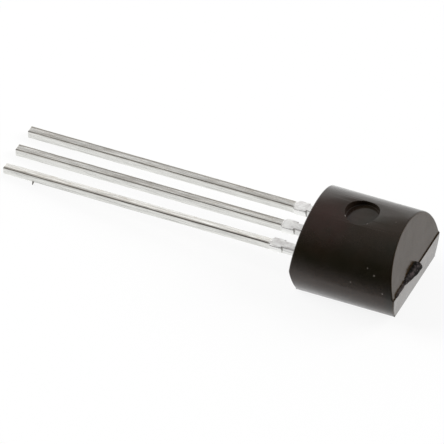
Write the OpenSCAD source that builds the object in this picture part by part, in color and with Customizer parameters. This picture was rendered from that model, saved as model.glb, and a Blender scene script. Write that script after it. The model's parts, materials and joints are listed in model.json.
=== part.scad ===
// Three-lead through-hole voltage reference in a TO-92 outline: a transfer-moulded
// body with a flat front and a round back on three stamped leads.
//
// Each piece is drawn in the package's own frame and then laid on its flat.
// Package frame: the parting plane of the mould is z = 0, the flat faces -z, the round
// back +z, the leads run to -x, and x = 0 is where the parting line crosses the
// seating end. All sizes are millimetres.

/* [Body] */
// Radius of the round back and sides, centred on the parting plane
body_r = 2.44; // [2.35:0.01:2.6]
// Length of the body along the parting plane
body_l = 5.07; // [4.6:0.01:5.4]
// Distance from the parting plane to the front flat
flat_depth = 1.28; // [1.1:0.01:1.5]
// Small radius where the flat meets the round sides
flat_edge_r = 0.1; // [0.04:0.01:0.2]
// Draft of the top end behind the parting plane, degrees
top_draft_back = 8; // [4:0.5:11]
// Draft of the top end in front of the parting plane, degrees
top_draft_front = 7; // [4:0.5:11]
// Draft of the seating end behind the parting plane, degrees
seat_draft_back = 9; // [4:0.5:11]
// Draft of the seating end in front of the parting plane, degrees
seat_draft_front = 8; // [4:0.5:11]
// How far the front half of the top end stands beyond the back half
mould_step = 0.05; // [0.02:0.01:0.1]

/* [Ejector pin recess] */
// Diameter of the recess
ejector_d = 1.53; // [1.2:0.01:1.8]
// Depth of its flat floor below the crest of the round back
ejector_depth = 0.33; // [0.2:0.01:0.5]
// Distance of its centre from the seating end
ejector_x = 2.55; // [2:0.01:3]

/* [Broken gate] */
// Length of the raised stub along the parting line
gate_l = 1.4; // [1.1:0.01:1.5]
// How far the raised stub reaches behind the parting plane
gate_t = 0.49; // [0.3:0.01:0.7]
// How far its broken face stands above the top end at its thick end
gate_h = 0.25; // [0.15:0.01:0.35]
// How far its broken face stands above the top end at its thin end
gate_low_h = 0.06; // [0.04:0.01:0.1]
// Offset of the thick end from the middle of the body
gate_offset = 0.08; // [0:0.01:0.3]
// Length of the thin flash that carries on from the stub
flash_l = 0.83; // [0.6:0.01:0.9]
// How far the flash reaches behind the parting plane
flash_t = 0.19; // [0.1:0.01:0.25]
// How far the flash stands above the top end
flash_h = 0.05; // [0.03:0.01:0.08]

/* [Leads] */
// Distance between the centres of neighbouring leads
lead_pitch = 1.27; // [1.2:0.01:1.35]
// Width of a lead
lead_w = 0.38; // [0.3:0.01:0.5]
// Thickness of the lead frame
lead_t = 0.41; // [0.3:0.01:0.5]
// Length of a lead from the seating end to its cut tip
lead_l = 14.23; // [12.7:0.01:16]
// Gap from the seating end to the dambar stubs
dambar_gap = 0.74; // [0.5:0.01:1.2]
// Length of a dambar stub along its lead
dambar_l = 0.56; // [0.3:0.01:0.8]
// How far a stub stands out of each side of its lead
dambar_out = 0.1; // [0.05:0.01:0.2]

/* [Buried lead ends] */
// Distance of the die paddle from the seating end
paddle_x = 1.7; // [1.5:0.01:2]
// Length of the die paddle
paddle_l = 2.1; // [1.7:0.01:2.3]
// Width of the die paddle
paddle_w = 1.5; // [1.2:0.01:1.6]
// Gap between the paddle and the bonding post on each side of it
post_gap = 0.25; // [0.2:0.01:0.3]
// Distance of the bonding posts from the seating end
post_x = 1.9; // [1.5:0.01:2]
// Length of a bonding post
post_l = 1.4; // [1.2:0.01:1.6]
// Width of a bonding post
post_w = 0.75; // [0.6:0.01:0.8]
// Chamfer on the corners of the paddle and the posts
corner_cut = 0.15; // [0.05:0.01:0.2]
// Diameter of the mould-lock hole in each post
lock_d = 0.36; // [0.25:0.01:0.4]

/* [Chip and wires] */
// Side of the square die
die_side = 0.9; // [0.6:0.01:1]
// Thickness of the die
die_t = 0.25; // [0.15:0.01:0.3]
// Thickness of the adhesive under the die
attach_t = 0.03; // [0.02:0.005:0.05]
// How far the adhesive spreads past the die on each side
attach_rim = 0.06; // [0.02:0.01:0.1]
// Distance of the bond pads from the die's edges
pad_inset = 0.14; // [0.1:0.01:0.2]
// Diameter of the bond wires
wire_d = 0.04; // [0.03:0.005:0.06]
// Rise of a wire loop above the line between its ends
wire_rise = 0.26; // [0.15:0.01:0.35]
// Diameter of the flattened ball at the die end of a wire
ball_d = 0.1; // [0.08:0.005:0.12]
// Thickness of the flattened ball
ball_t = 0.03; // [0.02:0.005:0.04]

/* [Hidden] */

// Sides of the package, seen from the flat with the leads down
LEFT = -1;
RIGHT = 1;

// Colours
MOULDING = [0.11, 0.1, 0.095];
TINNED = [0.78, 0.78, 0.76];
SILICON = [0.36, 0.38, 0.42];
SILVER_GLUE = [0.7, 0.69, 0.66];
GOLD = [0.85, 0.66, 0.28];

// Outlines of the gate stub, as parts of its length and of its reach: the broken face,
// and the foot where it leaves the top end
GATE_FACE = [
    [0, 0], [0.04, 0.35], [0.1, 0.71], [0.2, 0.82], [0.72, 0.6], [0.91, 0.45], [1, 0]
];
GATE_FOOT = [
    [0, 0], [0.03, 0.41], [0.13, 0.86], [0.27, 1], [0.63, 0.96], [0.87, 0.82], [0.96, 0.69],
    [1.04, 0.41], [1.06, 0]
];

ROUND = 96;      // facets OpenSCAD itself draws round the body
WIRE_SIDES = 8;  // sides of a bond wire
WIRE_STEPS = 12; // rings along a bond wire
OVER = 1;        // how far a cutting or clipping shape runs past what it cuts

// Where the end faces stand at a given distance from the parting plane
function seat_back_x(z) = z * tan(seat_draft_back);
function seat_front_x(z) = z * tan(seat_draft_front);
function top_back_x(z) = body_l - mould_step - z * tan(top_draft_back);
function top_front_x(z) = body_l - z * tan(top_draft_front);

// Centre of the small radius between the flat and the round side, and the height at
// which it runs into the round side
edge_y = sqrt(pow(body_r - flat_edge_r, 2) - pow(flat_depth - flat_edge_r, 2));
edge_z = -body_r * (flat_depth - flat_edge_r) / (body_r - flat_edge_r);

// Heights of the stack on the front face of the paddle
attach_z = -attach_t;
die_z = attach_z - die_t;

// Middle of the die, which is also the middle of the paddle
die_x = paddle_x + paddle_l / 2;
pad_reach = die_side / 2 - pad_inset;

// Middle of a bonding post across the package, and places of the wires along it
post_y = paddle_w / 2 + post_gap + post_w / 2;
bond_x = post_x + post_l / 3;
lock_x = post_x + post_l - corner_cut - lock_d;

// The package lies on the seating-end edge of its flat and on its lead tips
rest_tilt = atan(flat_depth / (lead_l + seat_front_x(flat_depth)));
rest_lift = flat_depth * cos(rest_tilt) - seat_front_x(flat_depth) * sin(rest_tilt);
rest_low_x = -lead_l * cos(rest_tilt) - lead_t * sin(rest_tilt);
rest_high_x = max(
    (body_l + gate_h) * cos(rest_tilt),
    top_front_x(flat_depth) * cos(rest_tilt) + flat_depth * sin(rest_tilt)
);

// Lays a piece down, with the origin on the surface under the middle of the outline
module at_rest() {
    translate([-(rest_low_x + rest_high_x) / 2, 0, rest_lift])
        rotate([0, -rest_tilt, 0])
            children();
}

// Turns an outline drawn as (y, z) into a bar from x = from to x = to
module along_x(from, to) {
    translate([from, 0, 0])
        rotate([90, 0, 90])
            linear_extrude(height = to - from)
                children();
}

// Turns an outline drawn as (x, z) into a slab centred on y = 0
module across_y(width) {
    rotate([90, 0, 0])
        linear_extrude(height = width, center = true)
            children();
}

// ---- Moulded body ----

// Cross-section of the body: a circle cut by the flat, with softened corners
module d_section() {
    intersection() {
        circle(r = body_r, $fn = ROUND);
        translate([-body_r - OVER, edge_z])
            square([2 * (body_r + OVER), body_r + OVER - edge_z]);
    }
    translate([-edge_y, -flat_depth])
        square([2 * edge_y, edge_z + flat_depth]);
    for (side = [LEFT, RIGHT])
        translate([side * edge_y, flat_edge_r - flat_depth])
            circle(r = flat_edge_r, $fn = ROUND);
}

// Side view of the body: both ends are drafted away from the parting plane, where the
// halves of the mould leave a small ledge across the top end
module side_profile() {
    back = body_r + OVER;
    front = flat_depth + OVER;
    polygon([
        [0, 0],
        [seat_back_x(back), back],
        [top_back_x(back), back],
        [top_back_x(0), 0],
        [body_l, 0],
        [top_front_x(front), -front],
        [seat_front_x(front), -front]
    ]);
}

// Where a fraction of the raised stub's length lies across the package
function gate_y(part) = gate_offset - part * gate_l;

// An outline of the stub, scaled up from its fractions
function gate_outline(parts) = [for (p = parts) [gate_y(p.x), p.y * gate_t]];

// The gate broke off along the parting line. It left a stub behind the line, whose face
// falls away from its thick end near the middle, and whose foot spreads as it meets the
// top end
module gate_stub() {
    foot_x = top_back_x(gate_t);
    base = foot_x - flat_edge_r;
    intersection() {
        hull() {
            along_x(base, foot_x)
                polygon(gate_outline(GATE_FOOT));
            along_x(body_l, body_l + gate_h)
                polygon(gate_outline(GATE_FACE));
        }
        linear_extrude(height = gate_t + OVER)
            polygon([
                [base - OVER, gate_y(0)],
                [body_l + gate_h, gate_y(0)],
                [body_l + gate_low_h, gate_y(1)],
                [body_l, gate_y(1) - flash_l],
                [base - OVER, gate_y(1) - flash_l]
            ]);
    }
}

// Thin flash between the stub and the corner of the body
module gate_flash() {
    along_x(top_back_x(flash_t) - flat_edge_r, body_l + flash_h)
        polygon([
            [gate_y(1), 0],
            [gate_y(1), flash_t],
            [gate_y(1) - flash_l + flash_h, flash_t],
            [gate_y(1) - flash_l, 0]
        ]);
}

module ejector_recess() {
    translate([ejector_x, 0, body_r - ejector_depth])
        cylinder(d = ejector_d, h = ejector_depth + OVER, $fn = ROUND);
}

module body_form() {
    difference() {
        union() {
            intersection() {
                along_x(-OVER, body_l + OVER)
                    d_section();
                across_y(2 * (body_r + OVER))
                    side_profile();
            }
            gate_stub();
            gate_flash();
        }
        ejector_recess();
    }
}

// ---- Leads: flat stampings whose front faces lie in the parting plane ----

module stamping() {
    linear_extrude(height = lead_t)
        children();
}

// Straight part of a lead with the cut ends of the dambar, up to x = to
module lead_strip(to) {
    translate([-lead_l, -lead_w / 2])
        square([lead_l + to, lead_w]);
    translate([-dambar_gap - dambar_l, -lead_w / 2 - dambar_out])
        square([dambar_l, lead_w + 2 * dambar_out]);
}

// Middle lead, which widens inside the body into the paddle that carries the die
module anode_form() {
    flare = (paddle_w - lead_w) / 2 - corner_cut;
    far = paddle_x + paddle_l;
    union() {
        stamping()
            lead_strip(paddle_x);
        stamping()
            polygon([
                [paddle_x - flare, -lead_w / 2],
                [paddle_x - flare, lead_w / 2],
                [paddle_x, paddle_w / 2 - corner_cut],
                [paddle_x + corner_cut, paddle_w / 2],
                [far - corner_cut, paddle_w / 2],
                [far, paddle_w / 2 - corner_cut],
                [far, corner_cut - paddle_w / 2],
                [far - corner_cut, -paddle_w / 2],
                [paddle_x + corner_cut, -paddle_w / 2],
                [paddle_x, corner_cut - paddle_w / 2]
            ]);
    }
}

// Outer lead, which widens inside the body into a bonding post with a hole that the
// moulding fills, so that the lead can't be pulled out
module outer_form(side) {
    inner = post_y - post_w / 2;
    outer = post_y + post_w / 2;
    mirror([0, side == LEFT ? 1 : 0, 0])
        stamping()
            difference() {
                union() {
                    translate([0, lead_pitch])
                        lead_strip(post_x + corner_cut);
                    polygon([
                        [post_x, inner + corner_cut],
                        [post_x + corner_cut, inner],
                        [post_x + post_l - corner_cut, inner],
                        [post_x + post_l, inner + corner_cut],
                        [post_x + post_l, outer - corner_cut],
                        [post_x + post_l - corner_cut, outer],
                        [post_x + corner_cut, outer],
                        [post_x, outer - corner_cut]
                    ]);
                }
                translate([lock_x, post_y])
                    circle(d = lock_d, $fn = ROUND);
            }
}

// ---- Chip, adhesive and bond wires, on the front face of the paddle ----

module attach_form() {
    side = die_side + 2 * attach_rim;
    translate([die_x - side / 2, -side / 2, attach_z])
        cube([side, side, attach_t]);
}

module die_form() {
    translate([die_x - die_side / 2, -die_side / 2, die_z])
        cube([die_side, die_side, die_t]);
}

// One point of a wire's loop, which leaves both of its ends square to the lead frame
function loop_point(from, to, turn) =
    from + (to - from) * (1 - cos(turn)) / 2 - [0, 0, wire_rise * sin(turn)];

// One ring of a wire, square to the loop
function loop_ring(from, to, turn) =
    let (
        run = to - from,
        flat_run = norm([run.x, run.y]),
        ahead = [run.x, run.y, 0] / flat_run,
        side = [-ahead.y, ahead.x, 0],
        slope = [flat_run * sin(turn) / 2, run.z * sin(turn) / 2 - wire_rise * cos(turn)],
        up = (ahead * -slope.y + [0, 0, slope.x]) / norm(slope)
    )
    [for (k = [0:WIRE_SIDES - 1])
        let (a = 360 * k / WIRE_SIDES)
        loop_point(from, to, turn) + (side * cos(a) + up * sin(a)) * wire_d / 2];

// A looped wire from a pad on the die to a point on the lead frame, with the flattened
// ball of its first bond
module wire_form(from, to) {
    rings = [for (i = [0:WIRE_STEPS]) loop_ring(from, to, 180 * i / WIRE_STEPS)];
    last = WIRE_STEPS * WIRE_SIDES;
    polyhedron(
        points = [for (ring = rings) each ring],
        faces = concat(
            [[for (k = [WIRE_SIDES - 1:-1:0]) k]],
            [for (i = [0:WIRE_STEPS - 1], k = [0:WIRE_SIDES - 1])
                let (a = i * WIRE_SIDES, b = a + WIRE_SIDES, n = (k + 1) % WIRE_SIDES)
                [a + k, a + n, b + n, b + k]],
            [[for (k = [0:WIRE_SIDES - 1]) last + k]]
        )
    );
    translate([from.x, from.y, from.z - ball_t])
        cylinder(d = ball_d, h = ball_t, $fn = WIRE_SIDES);
}

module reference_wire_form() {
    wire_form([die_x - pad_reach, -pad_reach, die_z], [bond_x, -post_y, 0]);
}

module cathode_wire_form() {
    wire_form([die_x - pad_reach, pad_reach, die_z], [bond_x, post_y, 0]);
}

module anode_wire_form() {
    landing = (paddle_x + die_x - die_side / 2 - attach_rim) / 2;
    wire_form([die_x - pad_reach, 0, die_z], [landing, 0, 0]);
}

// ---- Nodes ----

// The moulding surrounds everything inside it with no gap
module moulded_body() {
    color(MOULDING)
        at_rest()
            difference() {
                body_form();
                anode_form();
                outer_form(LEFT);
                outer_form(RIGHT);
                attach_form();
                die_form();
                reference_wire_form();
                cathode_wire_form();
                anode_wire_form();
            }
}

module reference_lead() {
    color(TINNED)
        at_rest()
            outer_form(LEFT);
}

module anode_lead() {
    color(TINNED)
        at_rest()
            anode_form();
}

module cathode_lead() {
    color(TINNED)
        at_rest()
            outer_form(RIGHT);
}

module die() {
    color(SILICON)
        at_rest()
            die_form();
}

module die_attach() {
    color(SILVER_GLUE)
        at_rest()
            attach_form();
}

module reference_wire() {
    color(GOLD)
        at_rest()
            reference_wire_form();
}

module cathode_wire() {
    color(GOLD)
        at_rest()
            cathode_wire_form();
}

module anode_wire() {
    color(GOLD)
        at_rest()
            anode_wire_form();
}

moulded_body();
reference_lead();
anode_lead();
cathode_lead();
die();
die_attach();
reference_wire();
cathode_wire();
anode_wire();
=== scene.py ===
"""Looks of a three-lead moulded voltage reference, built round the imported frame.

Pieces are modelled in millimetres in the package's own frame: x runs from the leads to
the top end of the body, z = 0 is the parting plane of the mould, +z is the round back.
place() takes a finished piece to the row's frame, in metres.
"""
import json
import math

import bmesh
import bpy
from mathutils import Matrix, Vector


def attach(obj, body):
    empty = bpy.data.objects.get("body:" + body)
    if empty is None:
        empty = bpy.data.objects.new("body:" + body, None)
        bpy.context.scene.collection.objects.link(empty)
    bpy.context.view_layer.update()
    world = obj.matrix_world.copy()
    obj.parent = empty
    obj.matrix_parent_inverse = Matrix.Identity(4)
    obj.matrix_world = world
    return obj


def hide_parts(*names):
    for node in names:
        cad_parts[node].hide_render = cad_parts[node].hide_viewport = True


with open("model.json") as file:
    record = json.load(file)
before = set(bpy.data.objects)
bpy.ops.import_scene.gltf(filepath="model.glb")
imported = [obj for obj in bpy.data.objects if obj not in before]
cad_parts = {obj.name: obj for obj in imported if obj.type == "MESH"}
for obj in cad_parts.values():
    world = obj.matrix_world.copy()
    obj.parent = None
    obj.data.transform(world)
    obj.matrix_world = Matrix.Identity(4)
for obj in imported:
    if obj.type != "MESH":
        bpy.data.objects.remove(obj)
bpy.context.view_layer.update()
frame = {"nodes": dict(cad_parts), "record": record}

# ---- Sizes, in millimetres and degrees ----

MM = 0.001

BODY_R = 2.44
BODY_L = 5.07
FLAT_DEPTH = 1.28
TOP_DRAFT_BACK = 8
TOP_DRAFT_FRONT = 7
SEAT_DRAFT_BACK = 9
SEAT_DRAFT_FRONT = 8
# Rounded edges: radius, and the steps that it is made in
FLAT_EDGE = (0.1, 3)
END_EDGE = (0.075, 4)

EJECTOR_R = 0.765
EJECTOR_DEPTH = 0.33
EJECTOR_X = 2.55
EJECTOR_FLOOR_R = 0.04
EJECTOR_FLOOR = (EJECTOR_FLOOR_R, 3)
EJECTOR_RIM = (0.018, 2)

# Step between the halves of the mould: the front half's end stands this far proud
MOULD_STEP = 0.05

# Outline of the broken gate stub: (y, z) points, each with the lean of the wall after it
GATE_FACE = (
    (0.12, 0, 4), (0.14, 0.12, 4), (0.1, 0.23, 3), (0, 0.31, 2), (-0.3, 0.32, 2), (-0.85, 0.28, 3),
    (-1.05, 0.24, 4), (-1.26, 0.18, 6), (-1.38, 0.1, 8), (-1.42, 0, 0)
)
# Planes of its torn face: a point's y, its height over the top end, and how steeply the
# plane falls from there towards the thin end and towards the back
GATE_TOP = ((0, 0.22, 0.0, 0.0), (-0.25, 0.235, 0.0, 0.56), (-0.25, 0.235, 0.24, 0.36))
# How far the stub hangs over the front half
GATE_OVERHANG = 0.04
# Thin flash that runs on from the stub along the parting line
FLASH_FACE = (
    (-1.1, 0, 0), (-1.1, 0.13, 8), (-1.62, 0.12, 8), (-2.03, 0.1, 10), (-2.12, 0.05, 10),
    (-2.15, 0, 0)
)
FLASH_TOP = ((-1.1, 0.04, 0.0, 0.0),)
# Room round their outlines in the blocks that they are carved from, and how far both reach
# into the body
GATE_ROOM = 0.3
GATE_ROOT = 0.21
FLASH_ROOT = 0.12
# Torn surface of both: the grid that it is made on, and the lumps' size, octaves and height,
# and the share of their height that counts as level
TEAR_GRID = 0.018
TEAR_SIZE = 0.11
TEAR_OCTAVES = 3
TEAR_DEPTH = 0.05
TEAR_LEVEL = 0.6

LEAD_PITCH = 1.27
LEAD_T = 0.41
DAMBAR_GAP = 0.74
DAMBAR_L = 0.56

# Where the dambar stubs start, where their own upper face starts just before them, and where
# the lean of a lead's upper face ends
STUB_START = -DAMBAR_GAP - DAMBAR_L
STUB_FACE = STUB_START - 0.015
LEAN_END = STUB_START - 0.12
# How far a stub's sheared sides draw in towards the underside of the lead
STUB_DRAW_IN = 0.045
# The leads' edges are rounded in these steps, and up to this far inside the body
LEAD_EDGE_STEPS = 4
ROUNDED_TO = 0.6
# Each lead's edge radius, and how far its upper face falls towards its far edge
LEADS = (("reference", 0.05, 0.041), ("anode", 0.034, 0.0), ("cathode", 0.034, 0.0))

# Burr near one lead's tip: a blunt cone, turned over from standing upright
BURR_AT = (-12.79, -1.48, -0.015)
BURR_L = 0.17
BURR_ROOT_R = 0.06
BURR_TIP_R = 0.02
BURR_SIDES = 10
BURR_TURN = 135
BURR_EDGE = (0.008, 2)

# Facets round the body and round the ejector pin
BODY_SIDES = 192
PIN_SIDES = 128

# How far a block that cuts reaches past what it cuts
OVER = 1.0
# Points this near each other are one, and a cut takes points this near as lying on it
WELD = 1e-4
CUT_NEAR = 1e-5
# How near a place an edge lies to count as there, and the same for the recess's rim
NEAR = 0.01
RIM_NEAR = 0.004
# How far from an end of the body its edges can lie
END_REACH = 0.8
# Angles between two faces that count as an edge, and as a sharper one than the flat's sides
FOLDED = 40
SHARP = 60
# Faces that turn less than this are one flat face, and more than this meet in a hard edge
FLAT_TURN = 1
SMOOTH_TURN = 32

# ---- The package's frame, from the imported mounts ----

MOUNTS = {mount["name"]: mount for mount in frame["record"]["mounts"]}


def package_frame():
    """Matrix from the package's frame in millimetres to the row's frame in metres."""
    ahead = -Vector(MOUNTS["lead_row"]["axis"]).normalized()
    up = -Vector(MOUNTS["front_flat"]["axis"]).normalized()
    across = up.cross(ahead)
    start = Vector(MOUNTS["lead_row"]["pos_m"])
    start += ahead * (DAMBAR_GAP + DAMBAR_L) * MM - up * LEAD_T / 2 * MM
    turn = Matrix((ahead, across, up)).transposed().to_4x4()
    return Matrix.Translation(start) @ turn @ Matrix.Scale(MM, 4)


PACKAGE = package_frame()


# ---- Modelling helpers ----

def select_only(piece):
    """Makes a piece the only one selected, and the active one."""
    bpy.ops.object.select_all(action="DESELECT")
    piece.select_set(True)
    bpy.context.view_layer.objects.active = piece


def named(name):
    """Names the primitive just added and bakes its place, turn and size into its mesh."""
    piece = bpy.context.object
    piece.name = name
    piece.data.name = name
    bpy.ops.object.transform_apply(location=True, rotation=True, scale=True)
    return piece


def start_edit(piece):
    """Opens a piece's mesh in edit mode, to select edges."""
    select_only(piece)
    bpy.ops.object.mode_set(mode="EDIT")
    bpy.ops.mesh.select_mode(type="EDGE")


def end_edit():
    """Goes back to object mode."""
    bpy.ops.object.mode_set(mode="OBJECT")


def pick_edges(piece, test):
    """In edit mode, selects only the edges for which test(edge) holds."""
    mesh = bmesh.from_edit_mesh(piece.data)
    for edge in mesh.edges:
        edge.select_set(False)
    for edge in mesh.edges:
        if test(edge):
            edge.select_set(True)
    bmesh.update_edit_mesh(piece.data)


def fold(edge):
    """Angle between an edge's two faces, in degrees."""
    return math.degrees(edge.calc_face_angle(0.0))


def middle(edge):
    """The middle of an edge."""
    return (edge.verts[0].co + edge.verts[1].co) / 2


def cut_away(point, outward):
    """Cuts the mesh in edit mode with a plane and closes it, dropping what lies outward."""
    bpy.ops.mesh.select_all(action="SELECT")
    bpy.ops.mesh.bisect(
        plane_co=point, plane_no=outward, use_fill=True, clear_outer=True, threshold=CUT_NEAR
    )


def merge_points():
    """In edit mode, makes one point of points that lie on each other."""
    bpy.ops.mesh.select_all(action="SELECT")
    bpy.ops.mesh.remove_doubles(threshold=WELD)


def split_across(x):
    """In edit mode, cuts new edges all round the mesh at one x."""
    bpy.ops.mesh.select_all(action="SELECT")
    bpy.ops.mesh.bisect(plane_co=(x, 0, 0), plane_no=(1, 0, 0))


def soften(piece, finish, test):
    """In edit mode, rounds the edges for which test(edge) holds, with a radius and steps."""
    width, steps = finish
    pick_edges(piece, test)
    bpy.ops.mesh.bevel(
        offset=width, segments=steps, profile=0.5, affect="EDGES", clamp_overlap=False
    )


def apply(piece, kind, **settings):
    """Adds a modifier with the given settings and applies it at once."""
    modifier = piece.modifiers.new(kind.lower(), kind)
    for name, value in settings.items():
        setattr(modifier, name, value)
    select_only(piece)
    bpy.ops.object.modifier_apply(modifier=modifier.name)


def combine(piece, other, operation, solver="EXACT"):
    """Adds another mesh to a piece or cuts it off, and removes the other."""
    apply(piece, "BOOLEAN", operation=operation, object=other, solver=solver)
    bpy.data.objects.remove(other)


def dress(piece, *materials):
    """Gives a piece these materials and no other."""
    piece.data.materials.clear()
    for material in materials:
        piece.data.materials.append(material)


def place(piece, nodes, slot):
    """Takes a finished piece to the row's frame, hangs it on the root body and hides the CAD parts
    that it stands for.
    """
    piece.data.transform(PACKAGE)
    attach(piece, "root")
    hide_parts(*nodes)
    return piece


# ---- Moulded body ----

def end_plane(draft, toward, back):
    """Outward normal of one half of an end face; toward is +1 at the top end."""
    angle = math.radians(draft)
    return (toward * math.cos(angle), 0, (1 if back else -1) * math.sin(angle))


def height_at(top, y, z):
    """How high over the top end the lowest of the planes of a torn face lies at y and z."""
    return min(high + along * (y - start) - across * z for start, high, along, across in top)


def carve(name, face, top, root, overhang=0.0):
    """A block whose face has the given outline and planes, with walls that lean out below.

    The outline holds (y, z, lean) corners in order from the thick end over the back. The
    block reaches down to root below the parting line's end.
    """
    ys = [y for y, z, lean in face]
    zs = [z for y, z, lean in face]
    bpy.ops.mesh.primitive_cube_add(
        size=1,
        location=(BODY_L, (min(ys) + max(ys)) / 2, max(zs) / 2),
        scale=(2 * GATE_ROOM, max(ys) - min(ys) + 2 * GATE_ROOM, max(zs) + 2 * GATE_ROOM)
    )
    block = named(name)
    start_edit(block)
    for start, high, along, across in top:
        cut_away((BODY_L + high, start, 0), (1, -along, across))
    for (y0, z0, lean), (y1, z1, after) in zip(face, face[1:]):
        length = math.hypot(y1 - y0, z1 - z0)
        out = math.tan(math.radians(lean))
        y, z = (y0 + y1) / 2, (z0 + z1) / 2
        outward = (out, (z1 - z0) / length, (y0 - y1) / length)
        cut_away((BODY_L + height_at(top, y, z), y, z), outward)
    cut_away((0, 0, -overhang), (0, 0, -1))
    cut_away((BODY_L - root, 0, 0), (-1, 0, 0))
    end_edit()
    return block


def make_gate():
    """Stub of the broken gate: a thick end, a thin flash and a torn surface."""
    gate = carve("gate", GATE_FACE, GATE_TOP, GATE_ROOT, GATE_OVERHANG)
    combine(gate, carve("flash", FLASH_FACE, FLASH_TOP, FLASH_ROOT), "UNION")
    apply(gate, "REMESH", mode="VOXEL", voxel_size=TEAR_GRID)
    tear = bpy.data.textures.new("tear", "CLOUDS")
    tear.noise_scale = TEAR_SIZE
    tear.noise_depth = TEAR_OCTAVES
    apply(
        gate, "DISPLACE", texture=tear, texture_coords="LOCAL",
        strength=TEAR_DEPTH, mid_level=TEAR_LEVEL
    )
    return gate


def make_body(moulding, fracture):
    """The moulded body with its recess, and the torn gate in a material of its own."""
    bpy.ops.mesh.primitive_cylinder_add(
        vertices=BODY_SIDES, radius=BODY_R, depth=BODY_L + 2 * OVER,
        location=(BODY_L / 2, 0, 0), rotation=(0, math.pi / 2, 0)
    )
    body = named("moulding")
    dress(body, moulding, fracture)
    start_edit(body)
    cut_away((0, 0, -FLAT_DEPTH), (0, 0, -1))
    cut_away((0, 0, 0), end_plane(SEAT_DRAFT_BACK, -1, True))
    cut_away((0, 0, 0), end_plane(SEAT_DRAFT_FRONT, -1, False))
    cut_away((BODY_L, 0, 0), end_plane(TOP_DRAFT_FRONT, 1, False))
    end_edit()
    combine(body, make_half_cut(), "DIFFERENCE")
    combine(body, make_pin(), "DIFFERENCE")
    start_edit(body)
    merge_points()
    soften(body, FLAT_EDGE, on_flat_side)
    soften(body, END_EDGE, lambda e: fold(e) > SHARP and on_end(e) and not on_step(e))
    soften(body, EJECTOR_RIM, on_rim)
    end_edit()
    gate = make_gate()
    dress(gate, moulding, fracture)
    for face in gate.data.polygons:
        face.material_index = 1
    combine(body, gate, "UNION", "MANIFOLD")
    start_edit(body)
    pick_edges(body, on_seam)
    bpy.ops.mesh.mark_sharp()
    end_edit()
    return body


def make_half_cut():
    """What the back half of the mould leaves off the top end."""
    bpy.ops.mesh.primitive_cube_add(
        size=1, location=(BODY_L, 0, BODY_R), scale=(2 * OVER, 3 * BODY_R, 2 * BODY_R)
    )
    cut = named("half_cut")
    start_edit(cut)
    across = end_plane(TOP_DRAFT_BACK, 1, True)
    cut_away((BODY_L - MOULD_STEP, 0, 0), [-part for part in across])
    end_edit()
    return cut


def make_pin():
    """The ejector pin whose end leaves the recess in the round back."""
    floor_z = BODY_R - EJECTOR_DEPTH
    bpy.ops.mesh.primitive_cylinder_add(
        vertices=PIN_SIDES, radius=EJECTOR_R, depth=EJECTOR_DEPTH + OVER,
        location=(EJECTOR_X, 0, floor_z + (EJECTOR_DEPTH + OVER) / 2)
    )
    pin = named("pin")
    start_edit(pin)
    soften(pin, EJECTOR_FLOOR, lambda e: fold(e) > SHARP and middle(e).z < floor_z + NEAR)
    end_edit()
    return pin


def on_flat_side(edge):
    """Whether an edge is one of the two long sides of the flat."""
    return (fold(edge) > FOLDED and reach_x(edge) > BODY_L / 2
            and middle(edge).z < NEAR - FLAT_DEPTH)


def on_rim(edge):
    """Whether an edge belongs to the upper rim of the ejector recess."""
    around = [math.hypot(v.co.x - EJECTOR_X, v.co.y) for v in edge.verts]
    return (fold(edge) > FOLDED and middle(edge).z > BODY_R - EJECTOR_DEPTH / 2
            and all(abs(reach - EJECTOR_R) < RIM_NEAR for reach in around))


def on_seam(edge):
    """Whether an edge parts the torn gate from the moulded faces."""
    return len({face.material_index for face in edge.link_faces}) > 1


def on_end(edge):
    """Whether an edge lies at either end of the body."""
    return middle(edge).x < END_REACH or middle(edge).x > BODY_L - END_REACH


def reach_x(edge):
    """How far an edge reaches along the package."""
    return abs(edge.verts[0].co.x - edge.verts[1].co.x)


def on_step(edge):
    """Whether an edge belongs to the ledge between the halves of the mould."""
    return abs(middle(edge).z) < NEAR and middle(edge).x > BODY_L / 2


# ---- Leads ----

def lead_from(node, name):
    """The stamped lead as one clean mesh in the package's frame."""
    lead = bpy.data.objects.new(name, frame["nodes"][node].data.copy())
    bpy.context.scene.collection.objects.link(lead)
    lead.data.transform(PACKAGE.inverted())
    start_edit(lead)
    merge_points()
    bpy.ops.mesh.dissolve_limited(angle_limit=math.radians(FLAT_TURN))
    end_edit()
    return lead


def make_lead(node, name, edge_r, lean):
    """A lead with rounded edges whose upper face falls by lean towards its far edge."""
    lead = lead_from(node, name)
    start_edit(lead)
    split_across(LEAN_END)
    split_across(STUB_FACE)
    lower_far_edge(lead, lean)
    pick_edges(lead, lambda e: abs(middle(e).x - STUB_FACE) < NEAR and reach_x(e) < NEAR)
    bpy.ops.mesh.mark_sharp()
    draw_in_stub(lead)
    soften(lead, (edge_r, LEAD_EDGE_STEPS), lambda e: fold(e) > SHARP and not upright(e)
           and middle(e).x < ROUNDED_TO)
    end_edit()
    return lead


def upright(edge):
    """Whether an edge runs up through a lead's thickness."""
    return abs(edge.verts[0].co.z - edge.verts[1].co.z) >= LEAD_T / 4


def lower_far_edge(lead, lean):
    """In edit mode, lowers the far upper edge of the lead, up to where the lean ends."""
    spots = [v.co for v in bmesh.from_edit_mesh(lead.data).verts if v.co.x < LEAN_END + NEAR]
    far = max(spot.y for spot in spots)
    pick_edges(lead, lambda e: max(v.co.x for v in e.verts) < LEAN_END + NEAR
               and middle(e).y > far - NEAR and middle(e).z > LEAD_T - NEAR)
    bpy.ops.transform.translate(value=(0, 0, -lean))


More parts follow.
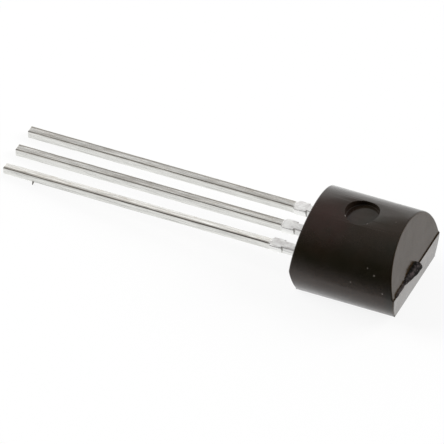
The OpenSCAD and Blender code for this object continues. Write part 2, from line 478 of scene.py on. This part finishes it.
def draw_in_stub(lead):
    """In edit mode, moves the lower edges of the dambar stub's sides towards the lead."""
    stub = [v.co.y for v in bmesh.from_edit_mesh(lead.data).verts
            if STUB_START - NEAR < v.co.x < -DAMBAR_GAP + NEAR]
    for side, inward in ((min(stub), STUB_DRAW_IN), (max(stub), -STUB_DRAW_IN)):
        pick_edges(lead, lambda e: abs(middle(e).y - side) < NEAR and middle(e).z < NEAR
                   and reach_x(e) > DAMBAR_L / 2)
        bpy.ops.transform.translate(value=(0, inward, 0))


def add_burr(lead):
    """A torn burr that hangs from the lower edge of a lead near its tip."""
    bpy.ops.mesh.primitive_cone_add(
        vertices=BURR_SIDES, radius1=BURR_ROOT_R, radius2=BURR_TIP_R, depth=BURR_L,
        location=BURR_AT, rotation=(math.radians(BURR_TURN), 0, 0)
    )
    burr = named("burr")
    width, steps = BURR_EDGE
    apply(burr, "BEVEL", width=width, segments=steps)
    combine(lead, burr, "UNION", "MANIFOLD")


# ---- Materials ----

def start_group(name, inputs, output, kind):
    """A shader node group with the given inputs, ready to be filled in."""
    group = bpy.data.node_groups.new(name, "ShaderNodeTree")
    for title, socket, value in inputs:
        entry = group.interface.new_socket(name=title, in_out="INPUT", socket_type=socket)
        if value is not None:
            entry.default_value = value
    group.interface.new_socket(name=output, in_out="OUTPUT", socket_type=kind)
    given = group.nodes.new("NodeGroupInput").outputs
    result = group.nodes.new("NodeGroupOutput").inputs[output]
    return group, given, result


def feed(tree, socket, value):
    """Links a socket to another one or sets it to a value."""
    if isinstance(value, bpy.types.NodeSocket):
        tree.links.new(value, socket)
    else:
        socket.default_value = value


def use(tree, group, **given):
    """One copy of a node group; inputs are given by their titles in small letters."""
    node = tree.nodes.new("ShaderNodeGroup")
    node.node_tree = group
    for title, value in given.items():
        feed(tree, node.inputs[title.capitalize()], value)
    return node.outputs[0]


def grain(tree, place, settings):
    """Cloudy variation with one of the named settings below."""
    return use(tree, GRAIN, place=place, **settings)


def maths(tree, operation, first, second=0.0, third=0.0):
    """Result of a Math node on sockets or numbers."""
    node = tree.nodes.new("ShaderNodeMath")
    node.operation = operation
    for socket, value in zip(node.inputs, (first, second, third)):
        feed(tree, socket, value)
    return node.outputs["Value"]


def vector_maths(tree, operation, first, second):
    """A Vector Math node on sockets or vectors."""
    node = tree.nodes.new("ShaderNodeVectorMath")
    node.operation = operation
    feed(tree, node.inputs[0], first)
    feed(tree, node.inputs[1], second)
    return node


def both(tree, first, second):
    """Product of two masks, or of a mask and its share."""
    return maths(tree, "MULTIPLY", first, second)


def span(tree, value, low, high, start=0.0, end=1.0):
    """Maps low..high to start..end, smoothly and without leaving that range."""
    node = tree.nodes.new("ShaderNodeMapRange")
    node.interpolation_type = "SMOOTHSTEP"
    feed(tree, node.inputs["Value"], value)
    feed(tree, node.inputs["From Min"], low)
    feed(tree, node.inputs["From Max"], high)
    feed(tree, node.inputs["To Min"], start)
    feed(tree, node.inputs["To Max"], end)
    return node.outputs["Result"]


def between(tree, amount, start, end):
    """The first value where amount is 0 and the second where it is 1."""
    return span(tree, amount, 0.0, 1.0, start, end)


def blend(tree, amount, first, second):
    """The first colour where amount is 0 and the second where it is 1."""
    node = tree.nodes.new("ShaderNodeMix")
    node.data_type = "RGBA"
    feed(tree, node.inputs["Factor"], amount)
    feed(tree, node.inputs["A"], first if not isinstance(first, tuple) else first + (1,))
    feed(tree, node.inputs["B"], second if not isinstance(second, tuple) else second + (1,))
    return node.outputs["Result"]


def parts_of(tree, vector):
    """The x, y and z of a vector."""
    node = tree.nodes.new("ShaderNodeSeparateXYZ")
    tree.links.new(vector, node.inputs["Vector"])
    return node.outputs


def make_place_group():
    """Object coordinates turned into the package's frame, in millimetres."""
    group, given, result = start_group(
        "package_place", [("Object", "NodeSocketVector", None)], "Place", "NodeSocketVector"
    )
    turn = group.nodes.new("ShaderNodeMapping")
    back = PACKAGE.inverted()
    turn.inputs["Location"].default_value = back.to_translation()
    turn.inputs["Rotation"].default_value = back.to_euler()
    turn.inputs["Scale"].default_value = [1 / MM] * 3
    group.links.new(given["Object"], turn.inputs["Vector"])
    group.links.new(turn.outputs["Vector"], result)
    return group


# How strongly the finer octaves of all the grains show
GRAIN_ROUGHNESS = 0.6


def make_grain_group():
    """Cloudy variation between 0 and 1, stretched along the axes, with a set contrast."""
    group, given, result = start_group("grain", [
        ("Place", "NodeSocketVector", None), ("Stretch", "NodeSocketVector", (1, 1, 1)),
        ("Size", "NodeSocketFloat", 1.0), ("Detail", "NodeSocketFloat", 4.0),
        ("Low", "NodeSocketFloat", 0.3), ("High", "NodeSocketFloat", 0.7)
    ], "Amount", "NodeSocketFloat")
    stretched = vector_maths(group, "MULTIPLY", given["Place"], given["Stretch"])
    clouds = group.nodes.new("ShaderNodeTexNoise")
    clouds.inputs["Roughness"].default_value = GRAIN_ROUGHNESS
    group.links.new(stretched.outputs["Vector"], clouds.inputs["Vector"])
    group.links.new(given["Size"], clouds.inputs["Scale"])
    group.links.new(given["Detail"], clouds.inputs["Detail"])
    group.links.new(span(group, clouds.outputs["Fac"], given["Low"], given["High"]), result)
    return group


def make_relief_group():
    """Normal of a surface raised by a height between 0 and 1 times a depth in millimetres."""
    group, given, result = start_group("relief", [
        ("Height", "NodeSocketFloat", 0.0), ("Depth", "NodeSocketFloat", 0.005)
    ], "Normal", "NodeSocketVector")
    raised = group.nodes.new("ShaderNodeBump")
    group.links.new(given["Height"], raised.inputs["Height"])
    group.links.new(maths(group, "MULTIPLY", given["Depth"], MM), raised.inputs["Distance"])
    group.links.new(raised.outputs["Normal"], result)
    return group


def make_spot_group():
    """A soft round spot: 1 at a place in the package's frame, 0 beyond the radius."""
    group, given, result = start_group("spot", [
        ("Place", "NodeSocketVector", None), ("Centre", "NodeSocketVector", (0, 0, 0)),
        ("Radius", "NodeSocketFloat", 0.05)
    ], "Mask", "NodeSocketFloat")
    away = vector_maths(group, "DISTANCE", given["Place"], given["Centre"])
    group.links.new(span(group, away.outputs["Value"], given["Radius"], 0.0), result)
    return group


PLACE = make_place_group()
GRAIN = make_grain_group()
RELIEF = make_relief_group()
SPOT = make_spot_group()


def new_material(name):
    """A material, its nodes, its shader and the place of the shaded point."""
    material = bpy.data.materials.new(name)
    material.use_nodes = True
    tree = material.node_tree
    coords = tree.nodes.new("ShaderNodeTexCoord")
    at = use(tree, PLACE, object=coords.outputs["Object"])
    return material, tree, tree.nodes["Principled BSDF"].inputs, at


def ramp(tree, value, stops):
    """A colour ramp from (position, grey) stops."""
    node = tree.nodes.new("ShaderNodeValToRGB")
    elements = node.color_ramp.elements
    while len(elements) < len(stops):
        elements.new(0.5)
    for element, (position, grey) in zip(elements, stops):
        element.position = position
        element.color = (grey, grey, grey, 1)
    tree.links.new(value, node.inputs["Fac"])
    return node.outputs["Color"]


# Moulding compound: its tones, their places and grains, and its finish
REDDISH = (0.028, 0.0120, 0.0090)
OLIVE = (0.0125, 0.0112, 0.0064)
NEUTRAL = (0.0205, 0.0130, 0.0076)
END_TONE = (0.037, 0.0225, 0.0105)
UNDERSIDE_LIGHT_TONE = (0.032, 0.0165, 0.0085)
CLOUD = (0.030, 0.024, 0.019)
PALE_SPECK_AND_GLINT = (0.25, 0.225, 0.21)
# Where the moulding compound is redder: centre and radius
RED_AT = (1.2, -0.7, 2.2)
RED_R = 2.1
# Where painted light from below makes it lighter and warmer, from not at all to fully: down the
# round back, away from the top end
UNDERSIDE_LIGHT_Z = (1.0, -0.3)
UNDERSIDE_LIGHT_X = (BODY_L - 0.2, BODY_L - 0.7)
# Where the top end's own tone and finish take over, between the rounded edge and its face
END_X = (BODY_L - 0.08, BODY_L - 0.055)
# Heights between which the recess's finish starts, so that the flat under it keeps its own
RECESS_Z = (1.0, 1.2)
# Pale specks on the round back and painted glints on the rim of the recess, each with its radius
SPECKS_AND_RIM_GLINTS = (
    ((3.70, -2.10, 1.25), 0.04), ((4.06, -2.22, 1.02), 0.055), ((4.52, -2.42, 0.28), 0.06),
    ((2.99, -2.40, 0.43), 0.045), ((1.97, -0.50, 2.39), 0.07), ((3.03, -0.59, 2.37), 0.05)
)
HUE_GRAIN = {"stretch": (0.7, 1, 1), "size": 0.5, "detail": 2.0}
RED_GRAIN = {"size": 0.9, "detail": 4.0, "low": 0.2, "high": 0.55}
CLOUD_GRAIN = {"size": 2.4, "detail": 5.0}
FLECK_GRAIN = {"size": 7.0, "detail": 2.0, "low": 0.72, "high": 0.8}
GLOSS_GRAIN = {"stretch": (4, 0.5, 0.5), "size": 1.2, "detail": 5.0}
WAVE_GRAIN = {"stretch": (0.8, 1, 1), "size": 1.1, "detail": 2.0, "low": 0.0, "high": 1.0}
FINE_GRAIN = {"size": 24.0, "detail": 4.0, "low": 0.0, "high": 1.0}
CLOUD_SHARE = 0.2
FLECK_SHARE = 0.25
FINE_SHARE = 0.12
MOULDING_ROUGHNESS = (0.13, 0.2)
EJECTOR_ROUGHNESS = 0.1
END_ROUGHNESS = 0.2
MOULDING_IOR = 1.5
MOULDING_RELIEF = 0.012


def moulding_material():
    """Dark compound with a soft gloss: painted light from below on its lower part, redder patches,
    clouds, and pale specks with painted glints on the recess's rim.
    """
    material, tree, shader, at = new_material("epoxy_moulding")
    x, _, z = parts_of(tree, at)
    colour = blend(tree, grain(tree, at, HUE_GRAIN), NEUTRAL, OLIVE)
    # Painted light from below: the lower round back is lighter and warmer
    underside_light = both(tree, span(tree, z, *UNDERSIDE_LIGHT_Z), span(tree, x, *UNDERSIDE_LIGHT_X))
    colour = blend(tree, underside_light, colour, UNDERSIDE_LIGHT_TONE)
    red = use(tree, SPOT, place=at, centre=RED_AT, radius=RED_R)
    colour = blend(tree, both(tree, red, grain(tree, at, RED_GRAIN)), colour, REDDISH)
    colour = blend(tree, both(tree, grain(tree, at, CLOUD_GRAIN), CLOUD_SHARE), colour, CLOUD)
    lip = both(tree, maths(tree, "ABSOLUTE", z), math.tan(math.radians(TOP_DRAFT_BACK)))
    at_end = span(tree, maths(tree, "ADD", x, lip), *END_X)
    colour = blend(tree, at_end, colour, END_TONE)
    # Pale flecks and specks, and painted glints on the recess's rim, lighten the colour
    feed(tree, shader["Base Color"], blend(tree, speck_and_glint_mask(tree, at), colour, PALE_SPECK_AND_GLINT))
    rough = between(tree, grain(tree, at, GLOSS_GRAIN), *MOULDING_ROUGHNESS)
    rough = between(tree, recess_mask(tree, at, z), rough, EJECTOR_ROUGHNESS)
    feed(tree, shader["Roughness"], between(tree, at_end, rough, END_ROUGHNESS))
    shader["IOR"].default_value = MOULDING_IOR
    fine = grain(tree, at, FINE_GRAIN)
    height = maths(tree, "MULTIPLY_ADD", fine, FINE_SHARE, grain(tree, at, WAVE_GRAIN))
    feed(tree, shader["Normal"], use(tree, RELIEF, height=height, depth=MOULDING_RELIEF))
    return material


def speck_and_glint_mask(tree, at):
    """Faint flecks all over, the specks at their places and the painted glints on the recess's
    rim.
    """
    pale = both(tree, grain(tree, at, FLECK_GRAIN), FLECK_SHARE)
    for centre, radius in SPECKS_AND_RIM_GLINTS:
        speck_or_glint = use(tree, SPOT, place=at, centre=centre, radius=radius)
        pale = maths(tree, "MAXIMUM", pale, speck_or_glint)
    return pale


def recess_mask(tree, at, z):
    """The floor of the ejector recess."""
    level = vector_maths(tree, "MULTIPLY", at, (1, 1, 0)).outputs["Vector"]
    away = vector_maths(tree, "DISTANCE", level, (EJECTOR_X, 0, 0)).outputs["Value"]
    inside = span(tree, away, EJECTOR_R, EJECTOR_R - EJECTOR_FLOOR_R)
    return both(tree, inside, span(tree, z, *RECESS_Z))


# Torn gate: its tones, their places and grain, and its finish
FRACTURE_DARK = (0.012, 0.010, 0.010)
FRACTURE_LIGHT = (0.062, 0.052, 0.050)
FRACTURE_SHADE = (0.017, 0.0155, 0.0135)
FRACTURE_HIGHLIGHT = (0.14, 0.105, 0.105)
FLASH_GREY = (0.11, 0.094, 0.09)
HIGHLIGHT_AT = (5.2, -0.68, 0.12)
HIGHLIGHT_R = 0.22
# Where painted shade darkens the torn face, from not at all to fully: down to the parting line,
# and away from the thin end
FRONT_RIM_SHADE_Z = (0.16, 0.05)
FRONT_RIM_SHADE_Y = (-1.0, -0.6)
FRONT_RIM_SHADE_SHARE = 0.85
# How far below the torn face the painted shade of its walls takes over, and where along it the
# grey flash does
WALL_SHADE_DEPTH = (0.02, 0.06)
FLASH_Y = (-1.25, -1.45)
TORN_GRAIN = {"stretch": (0.7, 1, 2.0), "size": 6.5, "detail": 5.0, "low": 0.42, "high": 0.58}
TORN_GLOSS_GRAIN = {"size": 14.0}
FRACTURE_ROUGHNESS = (0.55, 0.8)
FRACTURE_SPECULAR = 0.2
FRACTURE_RELIEF = 0.03


def fracture_material():
    """The torn surface of the broken gate: painted shade on its walls, a streaked top and a
    painted highlight.
    """
    material, tree, shader, at = new_material("gate_fracture")
    x, y, z = parts_of(tree, at)
    torn = grain(tree, at, TORN_GRAIN)
    colour = blend(tree, torn, FRACTURE_DARK, FRACTURE_LIGHT)
    # Painted highlight: a pale pink spot on the torn face
    highlight_spot = use(tree, SPOT, place=at, centre=HIGHLIGHT_AT, radius=HIGHLIGHT_R)
    colour = blend(tree, highlight_spot, colour, FRACTURE_HIGHLIGHT)
    # Painted shade: the torn face darkens towards the parting line at the front, and its walls
    # below the torn face are dark
    rim_shade = both(tree, span(tree, z, *FRONT_RIM_SHADE_Z), span(tree, y, *FRONT_RIM_SHADE_Y))
    colour = blend(tree, both(tree, rim_shade, FRONT_RIM_SHADE_SHARE), colour, FRACTURE_SHADE)
    below = maths(tree, "SUBTRACT", maths(tree, "ADD", crest_height(tree, y, z), BODY_L), x)
    colour = blend(tree, span(tree, below, *WALL_SHADE_DEPTH), colour, FRACTURE_SHADE)
    grey = blend(tree, torn, FRACTURE_LIGHT, FLASH_GREY)
    colour = blend(tree, span(tree, y, *FLASH_Y), colour, grey)
    feed(tree, shader["Base Color"], colour)
    gloss = grain(tree, at, TORN_GLOSS_GRAIN)
    feed(tree, shader["Roughness"], between(tree, gloss, *FRACTURE_ROUGHNESS))
    shader["Specular IOR Level"].default_value = FRACTURE_SPECULAR
    feed(tree, shader["Normal"], use(tree, RELIEF, height=torn, depth=FRACTURE_RELIEF))
    return material


def crest_height(tree, y, z):
    """Height of the gate's torn face over the top end: height_at() as nodes."""
    crest = OVER
    for start, high, along, across in GATE_TOP:
        plane = maths(tree, "MULTIPLY_ADD", y, along, high - along * start)
        crest = maths(tree, "MINIMUM", crest, maths(tree, "MULTIPLY_ADD", z, -across, plane))
    return crest


# Tin plate: its tones, their places and grains, and its finish
TIN_DARK = (0.76, 0.73, 0.68)
TIN_LIGHT = (0.93, 0.93, 0.90)
TIN_SIDE_LIT = (0.97, 0.97, 0.93)
TIN_DARK_REFLECTION_AND_BURR = (0.46, 0.43, 0.39)
TIN_FRESH = (0.97, 0.97, 0.95)
TIN_MOTTLE = (0.70, 0.68, 0.67)
TIN_STAIN = (0.58, 0.53, 0.45)
# Painted dark reflections in lines along the upper edges of a lead: offset across the lead, half
# width, and whether the line shows on the reference lead and on the others
DARK_REFLECTION_LINES = ((0.115, 0.045, 0, 1), (-0.165, 0.035, 0, 1), (-0.15, 0.07, 1, 0))
# Share of a painted dark line's width that shows at full strength, and where across the row the
# reference lead's side begins
DARK_LINE_CORE = 1 / 3
REFERENCE_Y = (-LEAD_PITCH / 2, -LEAD_PITCH / 2 - 0.02)
# Heights between which the sides give way to the upper face
UPPER_Z = (LEAD_T - 0.1, LEAD_T - 0.04)
# Where the dull, fresh tin of the dambar stubs takes over from that of the leads
FRESH_X = (STUB_START - 0.15, STUB_START + 0.02)
BURR_SPOT_R = 0.16
TIN_STREAK_GRAIN = {"stretch": (0.25, 6, 6), "size": 2.2, "detail": 5.0}
TIN_STAIN_GRAIN = {"stretch": (1.1, 4, 4), "size": 1.7, "detail": 4.0, "low": 0.5, "high": 0.72}
TIN_DARK_LINE_GRAIN = {"stretch": (0.5, 2, 2), "size": 1.6, "low": 0.15, "high": 0.5}
TIN_MOTTLE_GRAIN = {"stretch": (1, 1.6, 1), "size": 3.6, "detail": 3.0}
TIN_GLOSS_GRAIN = {"size": 3.0, "detail": 5.0}
TIN_WAVE_GRAIN = {
    "stretch": (0.35, 1.6, 1.6), "size": 1.3, "detail": 3.0, "low": 0.0, "high": 1.0
}
STAIN_SHARE = 0.55
STREAK_SHARE = 0.15
TIN_ROUGHNESS = (0.14, 0.24)
FRESH_ROUGHNESS = 0.4
FRESH_METALLIC = 0.25
TIN_RELIEF = 0.02


def dark_reflection_mask(tree, at, y):
    """Where painted dark reflections lie along the upper edges of the leads."""
    offset = maths(tree, "WRAP", y, LEAD_PITCH / 2, -LEAD_PITCH / 2)
    reference = span(tree, y, *REFERENCE_Y)
    dark_lines = 0.0
    for centre, half, on_reference, on_others in DARK_REFLECTION_LINES:
        away = maths(tree, "ABSOLUTE", maths(tree, "SUBTRACT", offset, centre))
        line = span(tree, away, half, half * DARK_LINE_CORE)
        share = between(tree, reference, on_others, on_reference)
        dark_lines = maths(tree, "MAXIMUM", dark_lines, both(tree, line, share))
    return both(tree, dark_lines, grain(tree, at, TIN_DARK_LINE_GRAIN))


def tin_material():
    """Streaked and stained tin with painted dark reflections along its upper edges and painted
    light on its sides, and dull fresh tin on the dambar stubs.
    """
    material, tree, shader, at = new_material("tin_plate")
    x, y, z = parts_of(tree, at)
    streaks = grain(tree, at, TIN_STREAK_GRAIN)
    upper = span(tree, z, *UPPER_Z)
    fresh = span(tree, x, *FRESH_X)
    colour = blend(tree, streaks, TIN_DARK, TIN_LIGHT)
    stain = both(tree, grain(tree, at, TIN_STAIN_GRAIN), STAIN_SHARE)
    colour = blend(tree, stain, colour, TIN_STAIN)
    # Painted light: the sides are a lighter tin than the upper face, for the brighter light that
    # they reflect
    colour = blend(tree, upper, blend(tree, streaks, TIN_LIGHT, TIN_SIDE_LIT), colour)
    # Painted dark reflections: lines along the upper faces darken, and so does a spot round the
    # burr
    dark_lines = both(tree, dark_reflection_mask(tree, at, y), upper)
    dark_lines = both(tree, dark_lines, maths(tree, "SUBTRACT", 1.0, fresh))
    burr = use(tree, SPOT, place=at, centre=BURR_AT, radius=BURR_SPOT_R)
    colour = blend(tree, maths(tree, "MAXIMUM", dark_lines, burr), colour, TIN_DARK_REFLECTION_AND_BURR)
    mottle = both(tree, grain(tree, at, TIN_MOTTLE_GRAIN), upper)
    colour = blend(tree, fresh, colour, blend(tree, mottle, TIN_FRESH, TIN_MOTTLE))
    feed(tree, shader["Base Color"], colour)
    matte = both(tree, fresh, upper)
    feed(tree, shader["Metallic"], between(tree, matte, 1.0, FRESH_METALLIC))
    rough = between(tree, grain(tree, at, TIN_GLOSS_GRAIN), *TIN_ROUGHNESS)
    feed(tree, shader["Roughness"], between(tree, matte, rough, FRESH_ROUGHNESS))
    waves = grain(tree, at, TIN_WAVE_GRAIN)
    height = maths(tree, "MULTIPLY_ADD", streaks, STREAK_SHARE, waves)
    feed(tree, shader["Normal"], use(tree, RELIEF, height=height, depth=TIN_RELIEF))
    return material


# Finishes of the pieces that the moulding hides: two close tones, a middling roughness, how
# metallic they are and the size of their grain
SILICON = ((0.09, 0.10, 0.12), (0.14, 0.15, 0.18), 0.15, 0.0, 8.0)
SILVER_GLUE = ((0.38, 0.37, 0.34), (0.5, 0.49, 0.46), 0.6, 0.0, 8.0)
GOLD = ((0.75, 0.48, 0.13), (0.88, 0.62, 0.22), 0.2, 1.0, 20.0)
HIDDEN_ROUGHNESS_CHANGE = 0.05
HIDDEN_RELIEF = 0.002


def hidden_material(name, finish):
    """Material of a piece that the moulding hides: its finish and a little relief."""
    dark, light, roughness, metallic, size = finish
    material, tree, shader, at = new_material(name)
    tone = grain(tree, at, {"size": size})
    feed(tree, shader["Base Color"], blend(tree, tone, dark, light))
    change = HIDDEN_ROUGHNESS_CHANGE
    feed(tree, shader["Roughness"], between(tree, tone, roughness - change, roughness + change))
    shader["Metallic"].default_value = metallic
    feed(tree, shader["Normal"], use(tree, RELIEF, height=tone, depth=HIDDEN_RELIEF))
    return material


# ---- Camera, floor and light ----

CAMERA_LENS = 1413.7
CAMERA_FRAME = 36.0
CAMERA_DISTANCE = 0.7617
# The package's frame as the camera sees it: right, up and towards the camera
CAMERA_RIGHT = Vector((0.9058, 0.4216, -0.0419))
CAMERA_UP = Vector((-0.2582, 0.6277, 0.7344))
# The body's seating end lies this far right of and below the middle of the picture
AIM_RIGHT = 3.912
AIM_DOWN = 0.652


def make_camera():
    """The camera, aimed by the package's frame."""
    turn = PACKAGE.to_3x3().normalized()
    right = (turn @ CAMERA_RIGHT).normalized()
    up = turn @ CAMERA_UP
    toward = right.cross(up).normalized()
    up = toward.cross(right)
    data = bpy.data.cameras.new("camera")
    data.lens = CAMERA_LENS
    data.sensor_width = CAMERA_FRAME
    camera = bpy.data.objects.new("camera", data)
    start = PACKAGE.to_translation()
    start += -right * AIM_RIGHT * MM + up * AIM_DOWN * MM + toward * CAMERA_DISTANCE
    camera.matrix_world = (
        Matrix.Translation(start) @ Matrix((right, up, toward)).transposed().to_4x4()
    )
    bpy.context.scene.collection.objects.link(camera)
    bpy.context.scene.camera = camera


# Level direction from the object to the bright backdrop, straight away from the camera
BACK = Vector((-0.387, 0.922, 0))
SIDE = Vector((0.922, 0.387, 0))

FLOOR_SIZE = 0.6
# Share of the floor that shows as evenly lit white, and the paper that holds the shadow
FLOOR_GLOW = 0.88
PAPER = (0.95, 0.95, 0.95, 1)


def make_floor():
    """White paper that keeps a faint shadow; in gloss the light table under it shows."""
    bpy.ops.mesh.primitive_plane_add(size=FLOOR_SIZE)
    floor = named("floor")
    floor.visible_glossy = False
    material = bpy.data.materials.new("floor")
    material.use_nodes = True
    tree = material.node_tree
    tree.nodes.clear()
    out = tree.nodes.new("ShaderNodeOutputMaterial")
    path = tree.nodes.new("ShaderNodeLightPath")
    seen = path.outputs["Is Camera Ray"]
    for ray in ("Is Transmission Ray", "Is Glossy Ray"):
        seen = maths(tree, "MAXIMUM", seen, path.outputs[ray])
    share = both(tree, seen, FLOOR_GLOW)
    paper = tree.nodes.new("ShaderNodeBsdfDiffuse")
    paper.inputs["Color"].default_value = PAPER
    glow = tree.nodes.new("ShaderNodeEmission")
    mix = tree.nodes.new("ShaderNodeMixShader")
    tree.links.new(share, mix.inputs["Fac"])
    tree.links.new(paper.outputs["BSDF"], mix.inputs[1])
    tree.links.new(glow.outputs["Emission"], mix.inputs[2])
    tree.links.new(mix.outputs["Shader"], out.inputs["Surface"])
    floor.data.materials.append(material)


# Square lamps over the object's two sides: places in metres, side and brightness
SOFTBOXES = {"left_box": (-0.3, -0.05, 0.24), "right_box": (0.3, 0.2, 0.24)}
SOFTBOX_SIDE = 0.26
SOFTBOX_RADIANCE = 5.6


def add_softbox(name, at):
    """A square lamp that faces the object and doesn't show in its gloss."""
    data = bpy.data.lights.new(name, "AREA")
    data.shape = "SQUARE"
    data.size = SOFTBOX_SIDE
    data.energy = SOFTBOX_RADIANCE * math.pi * SOFTBOX_SIDE ** 2
    lamp = bpy.data.objects.new(name, data)
    lamp.location = at
    lamp.visible_glossy = False
    lamp.rotation_euler = (-Vector(at)).to_track_quat("-Z", "Y").to_euler()
    bpy.context.scene.collection.objects.link(lamp)


# Brightness all round the object, from the camera's side of the horizon down, under the
# object, up behind it and over it: (degrees from straight back, brightness)
ROUND_LIGHT = (
    (-180, 0.0), (-166, 0.08), (-151, 0.28), (-138, 0.47), (-125, 0.8), (-113, 0.86),
    (-101, 0.96), (-90, 1.16), (-79, 1.42), (-68, 1.55), (-53, 1.22), (-15, 1.12), (8, 1.05),
    (19, 1.08), (28, 1.08), (34, 0.68), (41, 0.53), (50, 0.42), (60, 0.42), (76, 0.32),
    (98, 0.25), (110, 0.19), (123, 0.12), (136, 0.06), (150, 0.0)
)
BRIGHTEST = 1.55
# How that changes from the object's lead side to the side its top end faces
SIDE_LIGHT = ((-1.0, 1.0), (0.2, 1.0), (0.46, 1.12), (0.6, 0.98), (0.77, 0.79), (1.0, 0.65))
BRIGHTEST_SIDE = 1.2


def make_world():
    """A tent that is bright behind and under the object and dark at the camera."""
    world = bpy.data.worlds.new("studio")
    bpy.context.scene.world = world
    world.use_nodes = True
    tree = world.node_tree
    background = tree.nodes["Background"]
    coords = tree.nodes.new("ShaderNodeTexCoord")
    look = coords.outputs["Generated"]
    back = vector_maths(tree, "DOT_PRODUCT", look, BACK).outputs["Value"]
    side = vector_maths(tree, "DOT_PRODUCT", look, SIDE).outputs["Value"]
    up = vector_maths(tree, "DOT_PRODUCT", look, (0, 0, 1)).outputs["Value"]
    turn = maths(tree, "ARCTAN2", up, back)
    place_round = maths(tree, "MULTIPLY_ADD", turn, 0.5 / math.pi, 0.5)
    round_light = ramp(tree, place_round, [
        ((angle + 180) / 360, light / BRIGHTEST) for angle, light in ROUND_LIGHT
    ])
    place_across = maths(tree, "MULTIPLY_ADD", side, 0.5, 0.5)
    side_light = ramp(tree, place_across, [
        ((reach + 1) / 2, light / BRIGHTEST_SIDE) for reach, light in SIDE_LIGHT
    ])
    light = vector_maths(tree, "MULTIPLY", round_light, side_light).outputs["Vector"]
    tree.links.new(light, background.inputs["Color"])
    background.inputs["Strength"].default_value = BRIGHTEST * BRIGHTEST_SIDE


def make_studio():
    """Camera, floor, light and colour view."""
    make_camera()
    make_floor()
    make_world()
    for name, at in SOFTBOXES.items():
        add_softbox(name, at)
    bpy.context.scene.view_settings.view_transform = "Standard"


# ---- Build ----

def build_body():
    """The moulded body, finished and in place."""
    body = make_body(moulding_material(), fracture_material())
    return place(body, ["moulded_body"], "moulding")


def build_leads():
    """The three leads, finished and in place."""
    tin = tin_material()
    legs = []
    for side, edge_r, lean in LEADS:
        leg = make_lead(side + "_lead", side + "_leg", edge_r, lean)
        if side == "reference":
            add_burr(leg)
        dress(leg, tin)
        legs.append(place(leg, [side + "_lead"], "tinned_lead"))
    return legs


def dress_hidden():
    """Gives the pieces inside the moulding their finishes."""
    dress(frame["nodes"]["die"], hidden_material("silicon", SILICON))
    dress(frame["nodes"]["die_attach"], hidden_material("silver_glue", SILVER_GLUE))
    gold = hidden_material("gold", GOLD)
    for wire in ("reference_wire", "cathode_wire", "anode_wire"):
        dress(frame["nodes"][wire], gold)


def smooth(piece):
    """Shades a finished piece smooth, apart from its hard edges."""
    select_only(piece)
    bpy.ops.object.shade_smooth_by_angle(angle=math.radians(SMOOTH_TURN))
    apply(piece, "WEIGHTED_NORMAL", keep_sharp=True, weight=100)


make_studio()
modelled = [build_body()] + build_leads()
dress_hidden()
for piece in modelled:
    smooth(piece)
